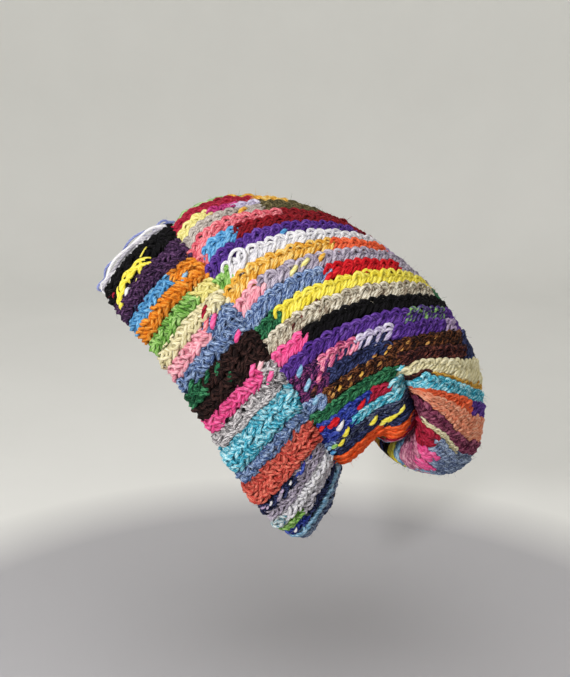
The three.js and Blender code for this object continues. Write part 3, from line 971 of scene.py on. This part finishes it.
# Flecks and small bits of other yarns, in the same way.
CROWN_SPECKS = [
    ("fleck", [(18.3, 3.5), (18.6, 3.58), (18.2, 3.72)]), ("gold", [(18.5, 3.9)]),
    ("fleck", [(18.05, 4.0), (18.7, 4.2), (18.2, 4.28), (17.9, 4.5)]), ("gold", [(18.5, 4.52)]),
    ("fleck", [(18.0, 4.74), (17.7, 4.95), (18.4, 5.0)]), ("gold", [(17.8, 5.2)]),
    ("fleck", [(17.4, 5.36), (17.7, 5.62), (17.3, 5.8), (17.6, 6.2), (17.3, 6.4)]), ("tan", [(13.6, 3.3)]),
    ("maroon_mix", [(13.3, 3.9), (13.5, 3.5), (12.9, 4.3)]),
]
CUFF_SPECKS = [
    ("pale_yellow", [(3.4, 0.56)]), ("crimson", [(2.5, 0.43)]), ("lilac", [(20.3, 0.36), (20.5, 0.4)]),
    ("white", [(20.4, 0.44)]), ("lilac", [(20.6, 0.48), (20.3, 0.52)]), ("white", [(20.5, 0.56)]),
    ("royal", [(20.4, 0.6), (20.3, 0.64), (20.5, 0.68)]), ("hot_pink", [(14.2, 0.7)]),
    ("black", [(13.9, 0.5), (14.2, 0.58)]), ("sky_blue", [(22.3, 0.36), (22.5, 0.42)]),
    ("white", [(24.3, 0.42)]),
]
SPECK = Strand(radius=1.0, steps=8, sides=6, points=[
    (-1.6, 0.1, 0.6), (-0.7, 0.04, 2.0), (0.7, -0.04, 2.1), (1.6, -0.1, 0.6),
])

# Loose yarn: (yarn, radius, points as place along, row and height).
CROWN_LOOSE = [
    ("white", 1.2, [
        (2.7, 8.9, 0.5), (2.95, 8.5, 3.0), (3.1, 8.0, 4.2), (3.32, 7.75, 4.6), (3.5, 7.95, 4.2),
        (3.48, 8.4, 3.6), (3.3, 8.8, 3.2), (3.15, 8.9, 1.0),
    ]),
    ("white", 1.1, [
        (2.6, 8.2, 0.5), (2.75, 8.0, 3.0), (2.95, 7.9, 3.6), (3.05, 8.3, 3.2), (2.9, 8.8, 1.0),
    ]),
    ("golden", 1.0, [
        (11.5, 0, 1.2), (11.55, 9, 1.6), (11.5, 19, 1.2), (11.55, 29, 1.8), (11.5, 39, 1.2),
        (11.55, 49, 1.6), (11.5, 58, 1.4), (11.55, 66, 2.2), (11.4, 70, 5.0),
    ]),
]
CUFF_LOOSE = [
    ("periwinkle", 0.8, [
        (0.22, 57.8, 1.0), (0.28, 57.7, 4.6), (0.34, 58.3, 8.6), (0.41, 57.8, 5.8), (0.48, 58.0, 8.0),
        (0.55, 57.8, 5.0), (0.62, 58.1, 6.8), (0.7, 57.8, 4.2), (0.78, 57.9, 5.4), (0.9, 57.6, 0.5),
    ]),
    ("white", 1.1, [
        (0.22, 58.3, 1.0), (0.3, 58.5, 4.2), (0.37, 58.2, 6.0), (0.44, 58.6, 4.2), (0.52, 58.3, 6.0),
        (0.6, 58.5, 3.8), (0.68, 58.2, 5.2), (0.76, 58.4, 3.0), (0.86, 58.2, 0.5),
    ]),
    ("pale_grey", 1.1, [
        (0.26, 58.9, 1.0), (0.33, 58.7, 3.4), (0.41, 59.0, 4.2), (0.49, 58.7, 3.0), (0.57, 59.0, 4.0),
        (0.65, 58.7, 2.8), (0.73, 58.9, 3.2), (0.8, 58.8, 0.5),
    ]),
    ("yellow", 1.3, [
        (0.41, 3.6, 0.8), (0.43, 3.2, 2.6), (0.455, 2.95, 2.4), (0.48, 2.6, 3.0), (0.51, 2.6, 2.6),
        (0.54, 2.4, 3.2), (0.57, 2.55, 2.6), (0.6, 2.5, 3.0), (0.625, 2.7, 2.4), (0.64, 2.8, 0.5),
    ]),
    ("yellow", 1.3, [
        (0.42, 3.9, 0.8), (0.44, 3.5, 2.4), (0.465, 3.1, 2.8), (0.49, 2.95, 2.2), (0.52, 2.7, 2.8),
        (0.55, 2.8, 2.2), (0.58, 2.75, 2.8), (0.61, 2.9, 2.0), (0.635, 3.1, 0.5),
    ]),
    ("yellow", 0.6, [
        (0.58, 2.6, 1.0), (0.62, 2.4, 3.6), (0.64, 2.2, 3.8), (0.65, 2.0, 3.0),
    ]),
    ("grey_heather", 1.2, [
        (0.36, 14.9, 1.2), (0.42, 15.0, 1.8), (0.48, 14.85, 1.6), (0.54, 15.0, 1.9), (0.6, 14.85, 1.6),
        (0.66, 15.0, 1.8), (0.74, 14.9, 1.2),
    ]),
    ("grey_heather", 1.2, [
        (0.34, 14.7, 1.4), (0.4, 14.8, 1.6), (0.46, 14.65, 1.8), (0.52, 14.8, 1.5), (0.58, 14.65, 1.8),
        (0.64, 14.8, 1.6), (0.72, 14.7, 1.0),
    ]),
]
LOOSE_STEPS = 5
LOOSE_SIDES = 6


def lay_loose(cloth, sheet, shift, yarn, radius, points):
    """One loose length of yarn through points on a sheet."""
    path = through(np.array(points, float), LOOSE_STEPS * (len(points) - 1) + 1)
    row = Row(sheet, 0, shift, END_MARGIN, sheet.last)
    distance = np.interp(path[:, 0], row.at, row.lengths)
    controls = np.stack([distance, path[:, 1], path[:, 2]], 1)[None]
    rings, along, _ = strand_rings(row, controls, np.array([radius]), len(path), LOOSE_SIDES, flat)
    cloth.tubes(rings, along, [[yarn] * (len(path) - 1)], rng.random(1), np.zeros((1, len(path))))


def lay_accent(cloth, sheet, shift, yarn, place, at, strand):
    """One stitch of another yarn across a row. Its strand's points are in millimetres along."""
    number = int(place)
    row = Row(sheet, number, shift, END_MARGIN, sheet.last)
    across = place - number
    distance = np.interp(at, row.at, row.lengths)
    points = [(distance + ahead, across + lean, height) for ahead, lean, height in strand.points]
    lay_strands(cloth, row, strand._replace(points=points), np.zeros(1), 1.0, lambda _: yarn, flat)


# The gathering yarn is wound into a flat coil that closes the end, which faces the far side.
COIL_YARN = "golden"
COIL_RADIUS = 1.4
COIL_OUTER = 9.5
COIL_INNER = 0.9
COIL_TURNS = 4.2
COIL_BULGE = 1.6
COIL_LIFT = 1.2
COIL_WAVE = 0.35
COIL_WAVES = 7.3
COIL_SHADE = 0.5
COIL_STEPS = 110
COIL_SIDES = 7
COIL_FACING = (-1.0, 0.0, 0.0)


def lay_coil(cloth):
    angle = 2 * np.pi * COIL_TURNS * np.linspace(0, 1, COIL_STEPS)
    reach = np.linspace(COIL_OUTER, COIL_INNER, COIL_STEPS)
    out = COIL_LIFT + COIL_BULGE * (1 - (reach / COIL_OUTER) ** 2) + COIL_WAVE * np.sin(COIL_WAVES * angle)
    centre = SECTIONS[-1, :3] + np.stack([-out, reach * np.cos(angle), reach * np.sin(angle)], 1)
    rings = sweep(centre, COIL_FACING, np.full(COIL_STEPS, COIL_RADIUS), COIL_SIDES)
    yarns = [[COIL_YARN] * (COIL_STEPS - 1)]
    shades = np.array([COIL_SHADE])
    cloth.tubes(rings[None], distances(centre)[None], yarns, shades, np.zeros((1, COIL_STEPS)))


def dress_details(name, sheet, shift, accents, specks, loose):
    cloth = Cloth(name)
    if sheet is crown:
        lay_coil(cloth)
    for strand, stitches in ((ACCENT, accents), (SPECK, specks)):
        for yarn, places in stitches:
            for place, at in places:
                lay_accent(cloth, sheet, shift, yarn, place, at, strand)
    for yarn, radius, points in loose:
        lay_loose(cloth, sheet, shift, yarn, radius, points)
    piece = cloth.make()
    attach(piece, "root")


def dress(kind, dress_row, nodes):
    for first in range(0, ROWS, ROWS_PER_PIECE):
        rows = range(first, min(first + ROWS_PER_PIECE, ROWS))
        cloth = Cloth(f"{kind}_rows_{rows[0]:02d}_{rows[-1]:02d}")
        for number in rows:
            dress_row(cloth, number)
        piece = cloth.make()
        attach(piece, "root")
        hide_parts(*nodes)


dress("crown", dress_crown_row, ["crown_band", "crown_body", "crown_end"])
dress("cuff", dress_cuff_row, ["cuff"])
dress_details("crown_details", crown, crown_shift, CROWN_ACCENTS, CROWN_SPECKS, CROWN_LOOSE)
dress_details("cuff_details", cuff, cuff_shift, CUFF_ACCENTS, CUFF_SPECKS, CUFF_LOOSE)


# A pale round floor that rises into a pale wall all round, a little greyer under the hat.
FLOOR_Z = -0.19
FLOOR_MIDDLE = (0.15, 0.06)
FLOOR_GREY = "#b2b1b4"
WALL_WHITE = "#ebebe8"
MOTTLE = (0.94, 0.94, 0.94, 1)
GREY_RADIUS = 0.4
GREY_BLUR = 0.05
ROOM_RADIUS = 1.9
ROOM_HEIGHT = 2.4
BEND_RADIUS = 0.5
BEND_STEPS = 12
ROOM_SIDES = 96


def stage_material():
    material = bpy.data.materials.new("pale_room")
    material.use_nodes = True
    tree = material.node_tree
    place = add_node(tree, "ShaderNodeTexCoord").outputs["Object"]
    middle = (*FLOOR_MIDDLE, FLOOR_Z)
    reach = add_node(tree, "ShaderNodeVectorMath", {0: place, 1: middle}, operation="DISTANCE")
    span = {"From Min": GREY_RADIUS - GREY_BLUR, "From Max": GREY_RADIUS + GREY_BLUR}
    edge = add_node(tree, "ShaderNodeMapRange", {"Value": reach.outputs["Value"], **span}).outputs[0]
    grain = {"Vector": place, "Scale": 6.0, "Detail": 5.0}
    noise = add_node(tree, "ShaderNodeTexNoise", grain).outputs["Fac"]
    plain = mix_colours(tree, edge, linear(FLOOR_GREY), linear(WALL_WHITE))
    surface = tree.nodes["Principled BSDF"]
    surface.inputs["Roughness"].default_value = 0.85
    surface.inputs["Specular IOR Level"].default_value = 0.1
    tree.links.new(mix_colours(tree, noise, plain, MOTTLE, "MULTIPLY"), surface.inputs["Base Color"])
    return material


def room_profile():
    """Distance out and height, from the middle of the floor round the bend to the wall's top."""
    points = [(GREY_RADIUS, 0.0)]
    for step in range(BEND_STEPS + 1):
        angle = math.radians(90 * step / BEND_STEPS)
        out = ROOM_RADIUS - BEND_RADIUS + BEND_RADIUS * math.sin(angle)
        points.append((out, BEND_RADIUS - BEND_RADIUS * math.cos(angle)))
    return points + [(ROOM_RADIUS, ROOM_HEIGHT)]


def make_room():
    section = room_profile()
    points = [(0.0, 0.0, FLOOR_Z)]
    for out, up in section:
        for side in range(ROOM_SIDES):
            angle = 2 * math.pi * side / ROOM_SIDES
            points.append((out * math.cos(angle), out * math.sin(angle), FLOOR_Z + up))
    faces = [(0, 1 + side, 1 + (side + 1) % ROOM_SIDES) for side in range(ROOM_SIDES)]
    for ring in range(len(section) - 1):
        low = 1 + ring * ROOM_SIDES
        for side in range(ROOM_SIDES):
            after = (side + 1) % ROOM_SIDES
            faces.append((low + side, low + ROOM_SIDES + side, low + ROOM_SIDES + after, low + after))
    mesh = bpy.data.meshes.new("floor")
    mesh.from_pydata(points, [], faces)
    mesh.polygons.foreach_set("use_smooth", [True] * len(faces))
    mesh.materials.append(stage_material())
    room = bpy.data.objects.new("floor", mesh)
    bpy.context.scene.collection.objects.link(room)


make_room()

# The camera stands at the wearer's left and looks down a little.
CAMERA_PLACE = (0.59464, 0.05735, 0.21105)
CAMERA_PITCH = math.radians(15)
FOCAL_PIXELS = 850
PHOTO_HEIGHT_PIXELS = 677
SENSOR_WIDTH = 36


def place_camera():
    data = bpy.data.cameras.new("camera")
    data.lens = FOCAL_PIXELS / PHOTO_HEIGHT_PIXELS * SENSOR_WIDTH
    data.sensor_width = SENSOR_WIDTH
    data.sensor_fit = "AUTO"
    camera = bpy.data.objects.new("camera", data)
    right = (0, 1, 0)
    above = (-math.sin(CAMERA_PITCH), 0, math.cos(CAMERA_PITCH))
    behind = (math.cos(CAMERA_PITCH), 0, math.sin(CAMERA_PITCH))
    camera.matrix_world = Matrix([*zip(right, above, behind, CAMERA_PLACE), (0, 0, 0, 1)])
    bpy.context.scene.collection.objects.link(camera)
    bpy.context.scene.camera = camera


def area_light(name, place, target, size, power, colour):
    data = bpy.data.lights.new(name, "AREA")
    data.shape = "DISK"
    data.size = size
    data.energy = power
    data.color = colour
    light = bpy.data.objects.new(name, data)
    light.location = place
    light.rotation_euler = (Vector(place) - Vector(target)).to_track_quat("Z", "Y").to_euler()
    bpy.context.scene.collection.objects.link(light)


FRONT = dict(place=(0.76, -0.33, 0.32), size=0.12, power=5.6, colour=(1.0, 0.985, 0.98))
CEILING = dict(place=(0, 0.06, 2.1), size=2.4, power=25, colour=(1.0, 0.985, 0.965))
ROOM_COLOUR = (0.78, 0.76, 0.72, 1)
ROOM_STRENGTH = 0.2

place_camera()
area_light("front", target=(0, 0.06, 0.03), **FRONT)
area_light("ceiling", target=(0, 0.06, 0), **CEILING)
world = bpy.data.worlds.new("room")
world.use_nodes = True
background = world.node_tree.nodes["Background"]
background.inputs["Color"].default_value = ROOM_COLOUR
background.inputs["Strength"].default_value = ROOM_STRENGTH
bpy.context.scene.world = world
bpy.context.scene.view_settings.view_transform = "Standard"
